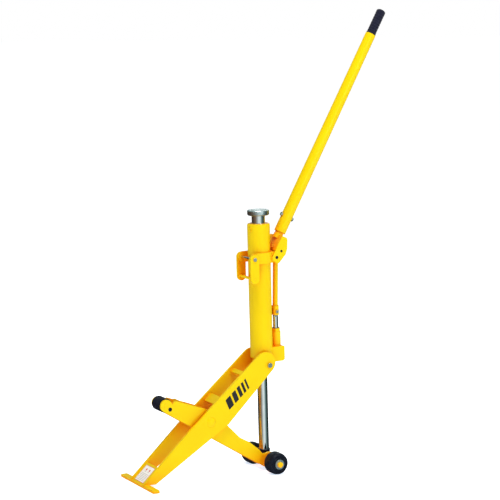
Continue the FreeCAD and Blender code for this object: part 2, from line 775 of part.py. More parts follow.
def lower_link_pin():
    """Bright pin through the fork and the plunger's tongue."""
    x = pump_behind
    end = clevis_radius + 2
    shank = cross_rod(lower_pin_radius, x, lower_pin_height, -end, end)
    head = cross_rod(lower_pin_head_radius, x, lower_pin_height, -end - 2, -clevis_radius)
    return shank.fuse(head).removeSplitter()


def link_direction():
    """Foot and top of the link's axis, and where its parts meet."""
    foot = Vector(pump_behind, 0, clevis_top)
    top = Vector(link_pin_behind, 0, link_pin_height)
    return foot, top


def link_tube():
    """Round rod from the fork to the eye."""
    foot, top = link_direction()
    run = top - foot
    stop = foot + run * ((run.Length - link_eye_radius + 1) / run.Length)
    stem = Part.makeCylinder(link_tube_radius, (stop - foot).Length, foot, run)
    foot_trim = rod(clevis_radius, (pump_behind, 0, clevis_top - 5), (pump_behind, 0, clevis_top))
    eye = cross_rod(link_eye_radius, link_pin_behind, link_pin_height, -link_tube_radius, link_tube_radius)
    bore = link_pin_radius + running_gap
    stem = stem.fuse(eye).removeSplitter().cut(foot_trim)
    return stem.cut(cross_rod(bore, link_pin_behind, link_pin_height, -20, 20))


def lever_yoke():
    """Forked lever: two flanges, a web with an arch, and a stud for the handle."""
    b = fulcrum_behind
    h = fulcrum_height
    flange = [(b - 19, h - 9), (b - 19, h + 2), (b - 6, h + 24), (b + 9, h + 52), (b + 26, h + 78),
              (b + 44, h + 70), (b + 47, h + 62), (b + 45, h + 28), (b + 38, h + 8), (b + 17, h - 14),
              (b + 9, h - 22), (b, h - 22)]
    side = slab(flange, yoke_inner, yoke_outer)
    web = slab([(b - 4, h + 26), (b + 9, h + 52), (b + 26, h + 78), (b + 44, h + 70), (b + 38, h + 62),
                (b + 28, h + 66), (b + 15, h + 47), (b + 3, h + 24)], -yoke_outer, yoke_outer)
    arch = rod(20, (b - 30, 0, h + 30), (b + 20, 0, h + 30))
    arch = arch.fuse(block(b - 30, b + 20, -20, 20, h - 20, h + 30))
    body = side.fuse([mirror(side), web]).removeSplitter().cut(arch)
    fulcrum_bore = cross_rod(fulcrum_radius + running_gap, b, h, -yoke_outer - 1, yoke_outer + 1)
    pin_bore = cross_rod(link_pin_radius, link_pin_behind, link_pin_height, -yoke_outer - 1, yoke_outer + 1)
    return body.cut(fulcrum_bore).cut(pin_bore)


def upper_link_pin():
    """Pin through the yoke and the link's eye."""
    return cross_rod(link_pin_radius, link_pin_behind, link_pin_height, -yoke_outer, yoke_outer)


def link_pin_sleeves():
    """Spacers that keep the link's eye in the middle of the yoke."""
    ring = cross_tube(link_pin_radius + 3, link_pin_radius, link_pin_behind, link_pin_height,
                      link_tube_radius + face_gap, yoke_inner)
    return pair(ring)


def handle_stud():
    """Stud welded to the yoke that the handle tube slides over, in the handle's frame."""
    r = neck_stud_radius
    neck = Part.makeCone(r + 4, r, 26, Vector(0, 0, -26), Vector(0, 0, 1))
    pin = rod(stud_radius(), (0, 0, 0), (0, 0, stud_length))
    stud = neck.fuse(pin).removeSplitter()
    up = handle_bolt_up
    return stud.cut(rod(handle_bolt_radius, (-30, 0, up), (30, 0, up)))


def stud_radius():
    """Outside radius of the stud inside the tube, which tapers above it."""
    return handle_radius_at(stud_length) - handle_wall


def handle_radius_at(height):
    """Outside radius of the tapering tube."""
    share = height / (handle_length - grip_length)
    return handle_low_radius + (handle_high_radius - handle_low_radius) * share


# ---------------------------------------------------------------- handle, in its own frame
def handle_tube():
    """Tapering tube with its bolt hole."""
    end = handle_length - grip_length
    top = handle_high_radius
    wall = handle_wall
    skin = Part.makeCone(handle_low_radius, top, end, Vector(0, 0, 0), Vector(0, 0, 1))
    hollow = Part.makeCone(handle_low_radius - wall, top - wall, end, Vector(0, 0, 0), Vector(0, 0, 1))
    skin = skin.cut(hollow)
    up = handle_bolt_up
    return skin.cut(rod(handle_bolt_radius, (-30, 0, up), (30, 0, up)))


def handle_grip():
    """Moulded grip with a spigot inside the tube and a round end."""
    r = grip_radius
    low = handle_length - grip_length
    spigot = rod(handle_high_radius - handle_wall, (0, 0, low - 50), (0, 0, low + 4))
    body = rod(r, (0, 0, low), (0, 0, handle_length))
    upper = [e for e in body.Edges if e.Closed and e.BoundBox.ZMin > handle_length - 1]
    body = body.makeFillet(r * 0.6, upper)
    return body.fuse(spigot).removeSplitter()


def handle_bolt():
    """Cross bolt that holds the tube on the stud."""
    up = handle_bolt_up
    out = handle_radius_at(up)
    shank = rod(handle_bolt_radius, (-out - 0.5, 0, up), (out + 9, 0, up))
    head = bolt_head(8, 6, (-out - 6, 0, up), (1, 0, 0))
    return shank.fuse(head).removeSplitter()


def handle_nut():
    """Nut on that bolt."""
    up = handle_bolt_up
    out = handle_radius_at(up)
    nut = bolt_head(8, 6.5, (out, 0, up), (1, 0, 0))
    return nut.cut(rod(handle_bolt_radius, (out - 1, 0, up), (out + 9, 0, up)))


def release_valve():
    """Screw that lets the oil back, with a tee bar for fingers."""
    x = valve_behind
    h = valve_height
    stem = cross_rod(valve_radius, x, h, 14, valve_reach)
    point = Part.makeCone(1.5, valve_radius, 8, Vector(x, 6, h), Vector(0, 1, 0))
    tee = rod(3.2, (x - 17, valve_reach - 5, h), (x + 17, valve_reach - 5, h))
    return stem.fuse([point, tee]).removeSplitter()


def block_plugs():
    """Plugs that close the block's drilled passages."""
    plugs = [bolt_head(7, 5, (block_reach, y, 34), (1, 0, 0)) for y in (-16, 16)]
    return Part.makeCompound(plugs)


# ---------------------------------------------------------------- write the parts
floor_frame = {
    "foot_plate": foot_plate, "gusset_plate": gusset_plate, "trunnion_bosses": trunnion_bosses,
    "base_arm_braces": base_arm_braces,
    "crossing_pin": crossing_pin, "crossing_spacers": crossing_spacers, "crossing_bushes": crossing_bushes,
    "lift_arm_webs": lift_arm_webs, "toe_plugs": toe_plugs, "toe_axle": toe_axle,
    "toe_roller": toe_roller, "wheel_axle": wheel_axle, "axle_spacers": axle_spacers,
    "wheel_washers": wheel_washers,
}
two_sided = {"base_arm_plate": base_arm_plate, "lift_arm_plate": lift_arm_plate,
             "wheel_tyre": wheel_tyre, "wheel_bush": wheel_bush}
unit_frame = {
    "ram_rod": ram_rod, "ram_eye": ram_eye, "ram_foot_ring": ram_foot_ring, "ram_piston": ram_piston,
    "piston_seal": piston_seal, "base_casting": base_casting, "trunnion_pins": trunnion_pins,
    "trunnion_washers": trunnion_washers, "ram_gland": ram_gland, "unit_seals": unit_seals,
    "pressure_cylinder": pressure_cylinder, "reservoir_tube": reservoir_tube, "cylinder_cap": cylinder_cap,
    "saddle": saddle, "filler_plug": filler_plug, "collar": collar,
    "fulcrum_pins": fulcrum_pins, "carry_bolt": carry_bolt, "carry_nut": carry_nut, "carry_bar": carry_bar,
    "pump_cylinder": pump_cylinder, "pump_gland": pump_gland,
    "check_valves": check_valves, "pump_plunger": pump_plunger,
    "link_clevis": link_clevis, "lower_link_pin": lower_link_pin, "link_tube": link_tube,
    "upper_link_pin": upper_link_pin, "link_pin_sleeves": link_pin_sleeves,
    "release_valve": release_valve, "block_plugs": block_plugs,
}
handle_frame = {"handle_tube": handle_tube, "handle_grip": handle_grip, "handle_bolt": handle_bolt,
                "handle_nut": handle_nut}

nodes = {name: make() for name, make in floor_frame.items()}
for name, make in two_sided.items():
    nodes[name + "_far"] = make()
    nodes[name + "_near"] = mirror(nodes[name + "_far"])
for name, make in unit_frame.items():
    nodes[name] = on_unit(make())
far_link = carry_link()
nodes["carry_link_far"] = on_unit(far_link)
nodes["carry_link_near"] = on_unit(mirror(far_link))
for name, make in handle_frame.items():
    nodes[name] = on_handle(make())
nodes["lever_yoke"] = on_unit(lever_yoke()).fuse(on_handle(handle_stud())).removeSplitter()

os.makedirs("parts", exist_ok=True)
for name, shape in nodes.items():
    shape.exportStep("parts/" + name + ".step")
print(len(nodes), "nodes")
print("axle", round(axle_x, 3), round(axle_z, 3), "trunnion", round(trunnion_x, 3), round(trunnion_z, 3))
print("ram span", round(ram_span, 2), "half angle", round(math.degrees(half_angle()), 3))
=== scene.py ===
# %% [markdown]
# # A scissor-arm jack
# This lesson dresses a finished CAD model of a garage jack: two crossed steel arms, an upright hydraulic
# unit, a pump lever with a long handle, and two small wheels. The model comes with its moving bodies, so
# the first step loads it and leaves it where it is. Everything made later rides on one of those bodies.

# %% Load the model
import json
import math
import bmesh
import bpy
from mathutils import Matrix, Vector

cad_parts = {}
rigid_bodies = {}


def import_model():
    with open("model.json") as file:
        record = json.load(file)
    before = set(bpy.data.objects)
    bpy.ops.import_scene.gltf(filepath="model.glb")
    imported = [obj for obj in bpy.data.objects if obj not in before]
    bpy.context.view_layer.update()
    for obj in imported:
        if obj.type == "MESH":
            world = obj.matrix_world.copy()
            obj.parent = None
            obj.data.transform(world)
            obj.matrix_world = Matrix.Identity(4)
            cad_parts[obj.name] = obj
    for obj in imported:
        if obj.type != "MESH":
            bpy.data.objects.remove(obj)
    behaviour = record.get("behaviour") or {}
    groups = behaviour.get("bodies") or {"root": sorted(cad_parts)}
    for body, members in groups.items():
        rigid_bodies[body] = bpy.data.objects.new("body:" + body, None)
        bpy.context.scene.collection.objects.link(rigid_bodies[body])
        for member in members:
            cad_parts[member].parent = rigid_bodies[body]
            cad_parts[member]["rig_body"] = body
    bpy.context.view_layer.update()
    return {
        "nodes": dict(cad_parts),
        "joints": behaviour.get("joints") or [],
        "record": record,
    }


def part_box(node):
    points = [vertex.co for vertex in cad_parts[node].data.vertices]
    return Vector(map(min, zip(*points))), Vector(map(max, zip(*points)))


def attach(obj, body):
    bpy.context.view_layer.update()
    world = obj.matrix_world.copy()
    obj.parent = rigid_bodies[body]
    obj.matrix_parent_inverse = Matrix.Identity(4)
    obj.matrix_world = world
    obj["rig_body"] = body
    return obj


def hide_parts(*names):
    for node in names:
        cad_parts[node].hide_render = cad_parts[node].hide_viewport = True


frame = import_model()
mm = 0.001

# %% [markdown]
# Places in this script come from the model. The joints give the crossing pin, the trunnions, the axle and the
# axis of the jack unit. Three small functions then turn "so far along the arm, so far above it" into a point,
# the way a fitter would measure. The base arm's edges are a little steeper than the line to the trunnions.

# %% Places taken from the joints and the boxes
joint = {j["name"]: j for j in frame["joints"]}
pivot = Vector(joint["lift_fold"]["pos_m"])
trunnion = Vector(joint["jack_tilt"]["pos_m"])
axle = Vector(joint["ram_pivot"]["pos_m"])
unit_up = Vector(joint["saddle_turn"]["axis"])
unit_back = Vector((unit_up.z, 0, -unit_up.x))
edge_tilt = math.radians(3.38)
base_slope = math.atan2(trunnion.z - pivot.z, trunnion.x - pivot.x) + edge_tilt
base_along = Vector((math.cos(base_slope), 0, math.sin(base_slope)))
base_up = Vector((-base_along.z, 0, base_along.x))
lift_along = (axle - pivot).normalized()
lift_up = Vector((-lift_along.z, 0, lift_along.x))


def on_base(along, rise, y):
    """Point of the base arm, in millimetres from the crossing pin."""
    return pivot + base_along * along * mm + base_up * rise * mm + Vector((0, y * mm, 0))


def on_lift(along, rise, y):
    """Point of the lift arm, in millimetres from the crossing pin."""
    return pivot + lift_along * along * mm + lift_up * rise * mm + Vector((0, y * mm, 0))


def on_unit(back, height, y):
    """Point of the jack unit, in millimetres from the trunnions."""
    return trunnion + unit_back * back * mm + unit_up * height * mm + Vector((0, y * mm, 0))


print("crossing pin", [round(v, 4) for v in pivot], "axle", [round(v, 4) for v in axle])

# %% [markdown]
# ## Materials
# A finish is never one flat colour. Enamel has a slow drift of tone, a fine orange-peel skin and a thin clear
# gloss over it. Ground chrome has faint rings from the grinding wheel. These are all built from noise. The
# helpers below keep each recipe short: each adds a node or two and returns the output.

# %% Node helpers
def start_material(name):
    """New material with its shader; returns the material, its tree and the shader."""
    material = bpy.data.materials.new(name)
    material.use_nodes = True
    tree = material.node_tree
    return material, tree, tree.nodes["Principled BSDF"]


def object_coords(tree, stretch=(1, 1, 1)):
    """Coordinates in metres that stay on the piece, stretched along each axis."""
    coords = tree.nodes.new("ShaderNodeTexCoord").outputs["Object"]
    if stretch == (1, 1, 1):
        return coords
    mapping = tree.nodes.new("ShaderNodeMapping")
    mapping.inputs["Scale"].default_value = stretch
    tree.links.new(coords, mapping.inputs["Vector"])
    return mapping.outputs["Vector"]


def noise(tree, coords, per_metre, detail=3.0, rough=0.5):
    """Cloudy pattern with so many blobs to the metre."""
    n = tree.nodes.new("ShaderNodeTexNoise")
    n.inputs["Scale"].default_value = per_metre
    n.inputs["Detail"].default_value = detail
    n.inputs["Roughness"].default_value = rough
    tree.links.new(coords, n.inputs["Vector"])
    return n.outputs["Fac"]


def remap(tree, value, low, high, to_low, to_high):
    """Spread a pattern from one range to another."""
    r = tree.nodes.new("ShaderNodeMapRange")
    for socket, number in zip(("From Min", "From Max", "To Min", "To Max"), (low, high, to_low, to_high)):
        r.inputs[socket].default_value = number
    tree.links.new(value, r.inputs["Value"])
    return r.outputs["Result"]


def blend_colours(tree, share, first, second):
    """Mix two colours; each is a tuple or another node's output."""
    m = tree.nodes.new("ShaderNodeMix")
    m.data_type = "RGBA"
    tree.links.new(share, m.inputs["Factor"])
    for socket, colour in ((m.inputs[6], first), (m.inputs[7], second)):
        if isinstance(colour, tuple):
            socket.default_value = (*colour, 1)
        else:
            tree.links.new(colour, socket)
    return m.outputs[2]


def bump(tree, height, depth, strength=1.0, under=None):
    """Surface relief from a pattern, depth in metres, laid over an earlier relief."""
    b = tree.nodes.new("ShaderNodeBump")
    b.inputs["Distance"].default_value = depth
    b.inputs["Strength"].default_value = strength
    tree.links.new(height, b.inputs["Height"])
    if under is not None:
        tree.links.new(under, b.inputs["Normal"])
    return b.outputs["Normal"]


# %% [markdown]
# ### Yellow enamel
# The jack is sprayed with thick gloss enamel. Where two painted faces look at each other the light bounces
# between them and turns orange. A shader alone makes too little of that, so this shade is painted in: the
# recipe asks how shut in a point is and deepens the colour to orange there. Its highlights are tinted too,
# because glancing light would otherwise wash the yellow out. A second version has a coarser skin, for the
# sand-cast base.

# %% Enamel recipe
def enamel(name, skin_per_metre, skin_depth):
    """Gloss yellow paint with orange peel and painted orange shade in shut-in corners; a cast surface has a
    coarser skin.
    """
    material, tree, shader = start_material(name)
    coords = object_coords(tree)
    drift = noise(tree, coords, 7.0, 2.0)
    share = remap(tree, drift, 0.35, 0.65, 0, 1)
    tone = blend_colours(tree, share, (0.71, 0.520, 0.0012), (0.74, 0.550, 0.0016))
    # Painted shade: where the ambient-occlusion probe finds a point shut in, the colour is pulled towards deep
    # orange in place of light bounced between painted faces.
    corner = tree.nodes.new("ShaderNodeAmbientOcclusion")
    corner.samples = 6
    corner.inputs["Distance"].default_value = 0.12
    painted_shade_share = remap(tree, corner.outputs["AO"], 0.30, 0.90, 1, 0)
    paint = blend_colours(tree, painted_shade_share, tone, (0.84, 0.25, 0.001))
    tree.links.new(paint, shader.inputs["Base Color"])
    haze = noise(tree, coords, 38.0, 4.0, 0.6)
    tree.links.new(remap(tree, haze, 0.3, 0.7, 0.30, 0.42), shader.inputs["Roughness"])
    peel = bump(tree, noise(tree, coords, skin_per_metre, 2.0), skin_depth, 0.5)
    dust = noise(tree, coords, 1900.0, 1.0)
    speck = bump(tree, remap(tree, dust, 0.70, 0.80, 0, 1), 0.00006, 0.3, peel)
    tree.links.new(speck, shader.inputs["Normal"])
    shader.inputs["Specular IOR Level"].default_value = 0.3
    shader.inputs["Specular Tint"].default_value = (1.0, 0.80, 0.28, 1)
    shader.inputs["Coat Weight"].default_value = 0.02
    shader.inputs["Coat Roughness"].default_value = 0.10
    return material


yellow_enamel = enamel("yellow_enamel", 420.0, 0.00010)
cast_enamel = enamel("cast_enamel", 190.0, 0.0005)

# %% [markdown]
# ### Bare metals
# Chrome, zinc plate, machined steel and bronze are one recipe with different numbers. The grinding marks are
# noise squeezed along one axis. On a round bar that axis is the bar's own, so the marks run round it.

# %% Metal recipe
def metal(name, light, dark, smooth, rough, stretch, marks_depth):
    """Bare metal: tone between two colours, polish between two roughnesses, fine tool marks."""
    material, tree, shader = start_material(name)
    shader.inputs["Metallic"].default_value = 1.0
    coords = object_coords(tree)
    cloud = noise(tree, coords, 30.0, 4.0, 0.6)
    share = remap(tree, cloud, 0.3, 0.7, 0, 1)
    tree.links.new(blend_colours(tree, share, light, dark), shader.inputs["Base Color"])
    tree.links.new(remap(tree, cloud, 0.3, 0.7, smooth, rough), shader.inputs["Roughness"])
    marks = noise(tree, object_coords(tree, stretch), 1200.0, 2.0)
    tree.links.new(bump(tree, marks, marks_depth, 0.35), shader.inputs["Normal"])
    return material


chrome = metal("hard_chrome", (0.80, 0.85, 0.84), (0.70, 0.76, 0.75), 0.06, 0.14, (0.03, 0.03, 1), 0.00003)
zinc = metal("bright_zinc", (0.74, 0.79, 0.79), (0.58, 0.63, 0.63), 0.20, 0.34, (1, 1, 1), 0.00006)
steel = metal("machined_steel", (0.56, 0.57, 0.58), (0.42, 0.43, 0.45), 0.22, 0.38, (1, 0.05, 1), 0.00008)
worn_zinc = metal("worn_zinc", (0.60, 0.68, 0.68), (0.42, 0.50, 0.50), 0.24, 0.38, (1, 1, 1), 0.00006)
bronze = metal("bearing_bronze", (0.60, 0.40, 0.17), (0.45, 0.28, 0.11), 0.30, 0.46, (1, 1, 1), 0.00010)

# %% [markdown]
# ### Blacks
# The tyres are hard nylon, the roller is blacked steel, and the grip is soft moulded rubber. None is truly
# black: each has a cold blue-grey cast and a grain that catches the light. Seals use the grip's recipe.

# %% Black recipe
def black(name, dark, light, smooth, rough, grain_per_metre, grain_depth, sheen):
    """Dark plastic, rubber or blacking with a fine grain and a few scuffs."""
    material, tree, shader = start_material(name)
    coords = object_coords(tree)
    scuff = noise(tree, coords, 60.0, 5.0, 0.65)
    share = remap(tree, scuff, 0.52, 0.78, 0, 1)
    tree.links.new(blend_colours(tree, share, dark, light), shader.inputs["Base Color"])
    tree.links.new(remap(tree, scuff, 0.3, 0.7, smooth, rough), shader.inputs["Roughness"])
    grain = noise(tree, coords, grain_per_metre, 2.0)
    tree.links.new(bump(tree, grain, grain_depth, 0.4), shader.inputs["Normal"])
    shader.inputs["Specular IOR Level"].default_value = 0.07
    shader.inputs["Sheen Weight"].default_value = sheen
    return material


nylon = black("black_nylon", (0.006, 0.008, 0.016), (0.020, 0.024, 0.036),
              0.22, 0.36, 700.0, 0.00010, 0.0)
blacking = black("blacked_steel", (0.008, 0.009, 0.020), (0.030, 0.032, 0.042),
                 0.28, 0.42, 500.0, 0.00012, 0.0)
grip_rubber = black("grip_rubber", (0.006, 0.007, 0.022), (0.016, 0.018, 0.040),
                    0.42, 0.60, 1100.0, 0.00022, 0.15)
nitrile = black("seal_nitrile", (0.012, 0.012, 0.013), (0.030, 0.030, 0.032),
                0.40, 0.55, 900.0, 0.00010, 0.1)


# %% [markdown]
# ### Printed film
# The stripes and the label are thin vinyl. It is smoother than the paint and a little uneven where the glue
# lies under it, which a broad, shallow relief gives.

# %% Vinyl recipe
def vinyl(name, colour, aged):
    """Printed film with a slight ripple from the glue."""
    material, tree, shader = start_material(name)
    coords = object_coords(tree)
    share = remap(tree, noise(tree, coords, 45.0, 4.0, 0.6), 0.4, 0.75, 0, 1)
    tree.links.new(blend_colours(tree, share, colour, aged), shader.inputs["Base Color"])
    shader.inputs["Roughness"].default_value = 0.34
    ripple = bump(tree, noise(tree, coords, 90.0, 2.0), 0.0003, 0.3)
    tree.links.new(ripple, shader.inputs["Normal"])
    return material


black_vinyl = vinyl("black_vinyl", (0.010, 0.010, 0.012), (0.020, 0.020, 0.022))
white_vinyl = vinyl("white_vinyl", (0.86, 0.87, 0.90), (0.78, 0.79, 0.80))
red_vinyl = vinyl("red_vinyl", (0.60, 0.020, 0.045), (0.52, 0.030, 0.050))
grey_vinyl = vinyl("grey_vinyl", (0.36, 0.38, 0.42), (0.46, 0.48, 0.50))

# %% Which finish each material slot takes
finish_of_slot = {
    "yellow_paint": yellow_enamel, "black_rubber": nylon, "black_steel": blacking, "chrome": chrome,
    "zinc": zinc, "bronze": bronze, "machined_steel": steel, "seal_rubber": nitrile,
    "grip_rubber": grip_rubber,
}
slot_of = {part["node"]: part["material_slot"] for part in frame["record"]["subparts"]}
cast_nodes = ("base_casting", "block_plugs")
chromed_nodes = ("cylinder_cap",)


def finish_of(node):
    """Material for one node of the model."""
    if node in cast_nodes:
        return cast_enamel
    if node in chromed_nodes:
        return chrome
    return finish_of_slot[slot_of[node]]


for name, node_object in frame["nodes"].items():
    node_object.data.materials.clear()
    node_object.data.materials.append(finish_of(name))
print("finishes", len(finish_of_slot), "slots in use", len(set(slot_of.values())))

# %% [markdown]
# ## Shared ways to make a piece
# Most pieces below are made in one of three ways: a copy of a CAD piece with softened edges, a turned shape,
# or a bead of weld. All end with the same steps, so one function names the piece, gives it its finish and
# sets it riding on its body.

# %% Finish a piece
def add_piece(name, mesh, materials, body, replaced=()):
    """Put a mesh in the scene as a named piece that rides on a body."""
    piece = bpy.data.objects.new(name, mesh)
    bpy.context.scene.collection.objects.link(piece)
    for material in materials:
        mesh.materials.append(material)
    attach(piece, body)
    if replaced:
        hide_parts(*replaced)
    return piece


def shade(mesh, angle=30):
    """Smooth shading that keeps edges sharper than an angle, in degrees."""
    mesh.polygons.foreach_set("use_smooth", [True] * len(mesh.polygons))
    mesh.set_sharp_from_angle(angle=math.radians(angle))


# %% [markdown]
# ### Softened edges
# Real plate is never knife-sharp: it is ground before painting and the paint rounds it further. That thin
# round edge catches a line of light, and it is most of what makes a render look like steel. CAD meshes come
# as loose triangles. Welding their points and merging flat faces first lets a bevel run cleanly round them.

# %% Softened copy of a CAD piece
def softened_mesh(node, width, segments=2):
    """Copy of a node's mesh with merged flat faces and bevelled edges, width in metres."""
    source = frame["nodes"][node].data
    clean = bpy.data.meshes.new(node + "_clean")
    clean.from_pydata([v.co[:] for v in source.vertices], [], [p.vertices[:] for p in source.polygons])
    bm = bmesh.new()
    bm.from_mesh(clean)
    bmesh.ops.remove_doubles(bm, verts=bm.verts, dist=0.000002)
    bmesh.ops.dissolve_limit(bm, angle_limit=math.radians(0.4), verts=bm.verts, edges=bm.edges)
    bmesh.ops.recalc_face_normals(bm, faces=bm.faces)
    bm.to_mesh(clean)
    bm.free()
    holder = bpy.data.objects.new(node + "_holder", clean)
    bpy.context.scene.collection.objects.link(holder)
    bevel = holder.modifiers.new("edges", "BEVEL")
    bevel.width = width
    bevel.segments = segments
    bevel.limit_method = "ANGLE"
    bevel.angle_limit = math.radians(32)
    bevel.use_clamp_overlap = True
    clean.polygons.foreach_set("use_smooth", [True] * len(clean.polygons))
    weigh = holder.modifiers.new("normals", "WEIGHTED_NORMAL")
    weigh.keep_sharp = True
    result = bpy.data.meshes.new_from_object(holder.evaluated_get(bpy.context.evaluated_depsgraph_get()))
    bpy.data.objects.remove(holder)
    bpy.data.meshes.remove(clean)
    result.materials.clear()
    return result


def soften(node, width, segments=2):
    """Replace a node with its softened copy."""
    mesh = softened_mesh(node, width * mm, segments)
    body = frame["nodes"][node]["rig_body"]
    return add_piece(node + "_finished", mesh, [finish_of(node)], body, [node])


edge_width = {
    1.2: ("foot_plate", "base_arm_plate_near", "base_arm_plate_far", "lift_arm_plate_near",
          "lift_arm_plate_far"),
    1.0: ("gusset_plate", "base_arm_braces", "lift_arm_webs", "lever_yoke", "carry_link_near",
          "carry_link_far"),
    2.2: ("base_casting",),
    0.8: ("collar", "trunnion_bosses", "crossing_spacers", "axle_spacers", "link_clevis", "pump_cylinder"),
    0.6: ("trunnion_pins", "wheel_washers", "pump_gland", "toe_plugs", "toe_axle",
          "block_plugs", "fulcrum_pins", "upper_link_pin", "carry_nut", "handle_nut", "handle_bolt",
          "carry_bolt", "lower_link_pin", "filler_plug", "release_valve", "handle_tube",
          "reservoir_tube", "crossing_pin", "wheel_axle", "ram_eye", "link_tube", "carry_bar", "pump_plunger"),
}
for width, nodes in edge_width.items():
    for node in nodes:
        piece = soften(node, width)
        print(piece.name, len(piece.data.polygons))

# %% [markdown]
# ### Turned shapes
# Wheels, rollers and knobs are turned on a lathe, and the same idea makes them here: a profile is spun round
# an axis. Corners in the profile become small arcs, as a cutting tool or a mould would leave them.

# %% Lathe
def round_corners(corners, radius, steps=4):
    """Closed profile with each corner replaced by an arc; corners are (radius, height) in millimetres."""
    rounded = []
    for i, corner in enumerate(corners):
        here = Vector(corner)
        before = Vector(corners[i - 1]) - here
        after = Vector(corners[(i + 1) % len(corners)]) - here
        turn = math.pi - before.angle(after)
        if turn < math.radians(12):
            rounded.append(here)
            continue
        reach = min(radius * math.tan(turn / 2), before.length * 0.45, after.length * 0.45)
        start = here + before.normalized() * reach
        end = here + after.normalized() * reach
        for k in range(steps + 1):
            t = k / steps
            rounded.append(start * (1 - t) ** 2 + here * 2 * t * (1 - t) + end * t ** 2)
    return rounded


def turned_mesh(name, corners, centre, axis, radius=1.0, around=96):
    """Solid of revolution about an axis through a point."""
    profile = round_corners(corners, radius)
    side = axis.orthogonal().normalized()
    bm = bmesh.new()
    rings = []
    for k in range(around):
        out = Matrix.Rotation(2 * math.pi * k / around, 3, axis) @ side
        rings.append([bm.verts.new(centre + out * p.x * mm + axis * p.y * mm) for p in profile])
    for k in range(around):
        here, there = rings[k], rings[(k + 1) % around]
        for i in range(len(profile)):
            j = (i + 1) % len(profile)
            bm.faces.new((here[i], here[j], there[j], there[i]))
    bmesh.ops.remove_doubles(bm, verts=bm.verts, dist=0.000001)
    bmesh.ops.recalc_face_normals(bm, faces=bm.faces)
    mesh = bpy.data.meshes.new(name)
    bm.to_mesh(mesh)
    bm.free()
    shade(mesh, 40)
    return mesh


# %% [markdown]
# ### Wheels and roller
# The wheels are solid nylon, moulded with a rounded shoulder, a shallow ring in the face and a raised hub.
# The model's tyre is plain, so a turned one takes its place, within the same outside sizes. The toe roller
# gets broken edges and two fine turned grooves.

# %% Tyres
tyre_low, tyre_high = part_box("wheel_tyre_far")
tyre_radius = (tyre_high.z - tyre_low.z) / 2 / mm
tyre_inner = tyre_low.y / mm
tyre_outer = tyre_high.y / mm
bush_low, bush_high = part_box("wheel_bush_far")
bush_radius = (bush_high.z - bush_low.z) / 2 / mm
hub_radius = 22.0
face_ring = 31.0
tyre_profile = [
    (bush_radius, tyre_inner), (tyre_radius - 3, tyre_inner), (tyre_radius, tyre_inner + 3),
    (tyre_radius, tyre_outer - 17), (tyre_radius - 0.8, tyre_outer - 16),
    (tyre_radius - 0.8, tyre_outer - 14.6), (tyre_radius - 0.2, tyre_outer - 13.8),
    (tyre_radius - 2.0, tyre_outer - 6), (tyre_radius - 5, tyre_outer - 1.4),
    (face_ring + 1, tyre_outer), (face_ring, tyre_outer - 2.2), (face_ring - 2, tyre_outer - 2.8),
    (hub_radius + 2, tyre_outer - 2.2), (hub_radius, tyre_outer), (bush_radius, tyre_outer),
]
wheel_centre = Vector((axle.x, 0, axle.z))
for side, body in ((1, "wheel_far"), (-1, "wheel_near")):
    mesh = turned_mesh(body + "_tyre", tyre_profile, wheel_centre, Vector((0, side, 0)), 1.6, 128)
    add_piece(body + "_tyre", mesh, [nylon], body, ["wheel_tyre_" + body.split("_")[1]])
print("tyre radius", round(tyre_radius, 1), "width", round(tyre_outer - tyre_inner, 1))

# %% Toe roller
roller_low, roller_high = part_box("toe_roller")
roller_radius = (roller_high.z - roller_low.z) / 2 / mm
roller_half = roller_high.y / mm
axle_low, axle_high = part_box("toe_axle")
roller_bore = (axle_high.z - axle_low.z) / 2 / mm + 0.05
roller_profile = [(roller_bore, -roller_half), (roller_radius, -roller_half)]
for groove in (-roller_half + 7, roller_half - 8):
    roller_profile += [(roller_radius, groove), (roller_radius - 0.7, groove + 0.3),
                       (roller_radius - 0.7, groove + 0.8), (roller_radius, groove + 1.1)]
roller_profile += [(roller_radius, roller_half), (roller_bore, roller_half)]
roller_centre = Vector(joint["toe_roll"]["pos_m"])
roller_mesh = turned_mesh("toe_roller_turned", roller_profile, roller_centre, Vector((0, 1, 0)), 1.2)
add_piece("toe_roller_turned", roller_mesh, [blacking], "toe_roller", ["toe_roller"])

# %% [markdown]
# ### Saddle
# The round head on top is plated steel with a soft rim. Its top is slightly dished inside one turned groove,
# which keeps a load from skating. The screw below it goes down inside the cap.

# %% Saddle
saddle_radius = 41.0
saddle_bottom = 560.0
saddle_top = 580.0
screw_radius = 14.0
screw_bottom = 515.0
saddle_profile = [(0, screw_bottom), (screw_radius, screw_bottom), (screw_radius, saddle_bottom),
                  (saddle_radius - 3, saddle_bottom), (saddle_radius, saddle_bottom + 3),
                  (saddle_radius, saddle_top - 3), (saddle_radius - 3, saddle_top)]
saddle_profile += [(30, saddle_top - 0.2), (29.4, saddle_top - 1.0), (28.4, saddle_top - 1.0),
                   (27.8, saddle_top - 0.4), (14, saddle_top - 1.2), (0, saddle_top - 1.2)]
saddle_mesh = turned_mesh("saddle_head", saddle_profile, trunnion, unit_up, 2.4, 128)
add_piece("saddle_head", saddle_mesh, [worn_zinc], "saddle", ["saddle"])

# %% [markdown]
# ### Grip
# The grip is a soft sleeve pushed over the handle's end. It has a thick lip at its mouth, shallow finger
# rings, and a domed end. A spigot keeps it straight inside the tube.

